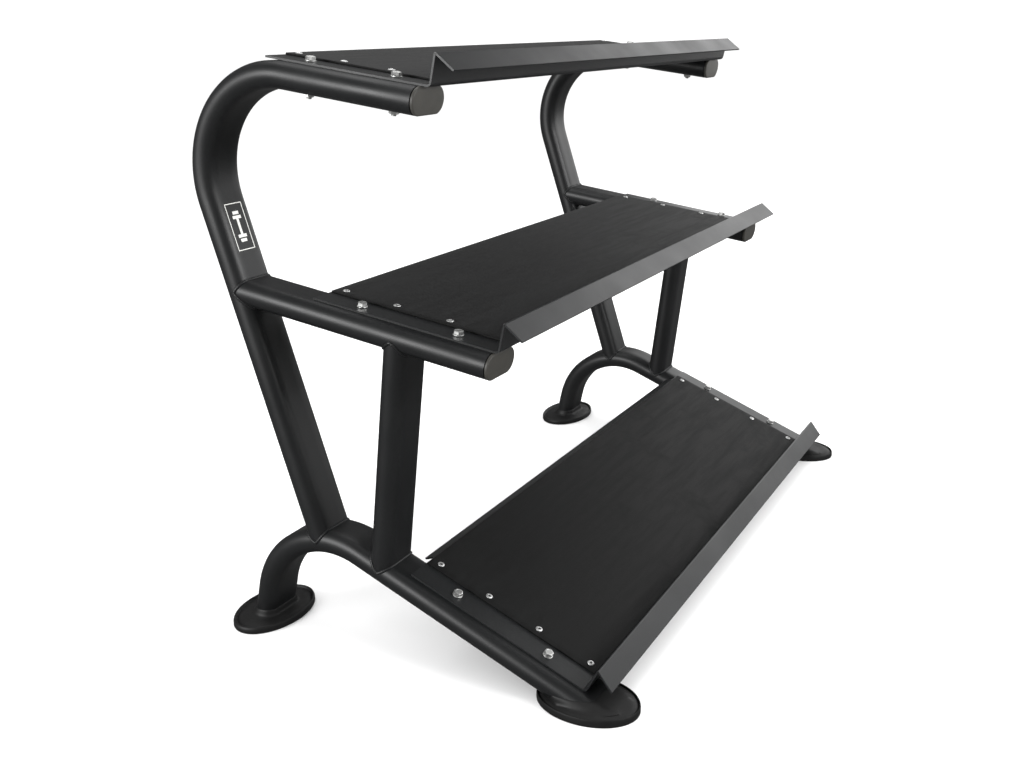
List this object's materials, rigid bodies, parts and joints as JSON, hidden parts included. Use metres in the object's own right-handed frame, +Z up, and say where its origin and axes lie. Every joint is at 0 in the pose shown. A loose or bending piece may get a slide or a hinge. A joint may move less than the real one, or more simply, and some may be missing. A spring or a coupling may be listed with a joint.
{
  "type": "dumbbell rack",
  "caption": "Free-standing tiered dumbbell rack: welded end frames of bent flat-oval tube on rubber feet, carrying bolted, forward-sloping steel trays with raised lips and black rubber mats.",
  "frame": {"origin": "on the floor, under the middle of the rack's overall box", "axes": "+X runs along the trays, towards the frame whose nodes end in _right; -Y is the front, where the trays slope down to their lips; +Z is up"},
  "size_m": [1.33, 0.7466, 0.9398],
  "materials": {
    "powder_coat": "satin black powder coat, fine texture",
    "tray_coat": "satin black powder coat on folded sheet steel",
    "rubber_mat": "matt black rubber sheet with faint scuffs",
    "rubber_foot": "moulded matt black rubber",
    "plastic_cap": "moulded dark grey-brown plastic",
    "zinc": "bright zinc plating"
  },
  "bodies": {
    "root": {"upright_arm_left": "powder_coat", "middle_arm_left": "powder_coat", "front_post_left": "powder_coat", "foot_rail_left": "powder_coat", "upright_arm_right": "powder_coat", "middle_arm_right": "powder_coat", "front_post_right": "powder_coat", "foot_rail_right": "powder_coat", "top_cap_left": "plastic_cap", "middle_cap_left": "plastic_cap", "top_cap_right": "plastic_cap", "middle_cap_right": "plastic_cap", "rear_foot_left": "rubber_foot", "front_foot_left": "rubber_foot", "rear_foot_right": "rubber_foot", "front_foot_right": "rubber_foot", "top_tray": "tray_coat", "top_mat": "rubber_mat", "top_bolt_1": "zinc", "top_bolt_2": "zinc", "top_bolt_3": "zinc", "top_bolt_4": "zinc", "top_washer_1": "zinc", "top_washer_2": "zinc", "top_washer_3": "zinc", "top_washer_4": "zinc", "top_nut_1": "zinc", "top_nut_2": "zinc", "top_nut_3": "zinc", "top_nut_4": "zinc", "middle_tray": "tray_coat", "middle_mat": "rubber_mat", "middle_bolt_1": "zinc", "middle_bolt_2": "zinc", "middle_bolt_3": "zinc", "middle_bolt_4": "zinc", "middle_washer_1": "zinc", "middle_washer_2": "zinc", "middle_washer_3": "zinc", "middle_washer_4": "zinc", "middle_nut_1": "zinc", "middle_nut_2": "zinc", "middle_nut_3": "zinc", "middle_nut_4": "zinc", "bottom_tray": "tray_coat", "bottom_mat": "rubber_mat", "bottom_bolt_1": "zinc", "bottom_bolt_2": "zinc", "bottom_bolt_3": "zinc", "bottom_bolt_4": "zinc", "bottom_washer_1": "zinc", "bottom_washer_2": "zinc", "bottom_washer_3": "zinc", "bottom_washer_4": "zinc", "bottom_nut_1": "zinc", "bottom_nut_2": "zinc", "bottom_nut_3": "zinc", "bottom_nut_4": "zinc"}
  },
  "joints": []
}
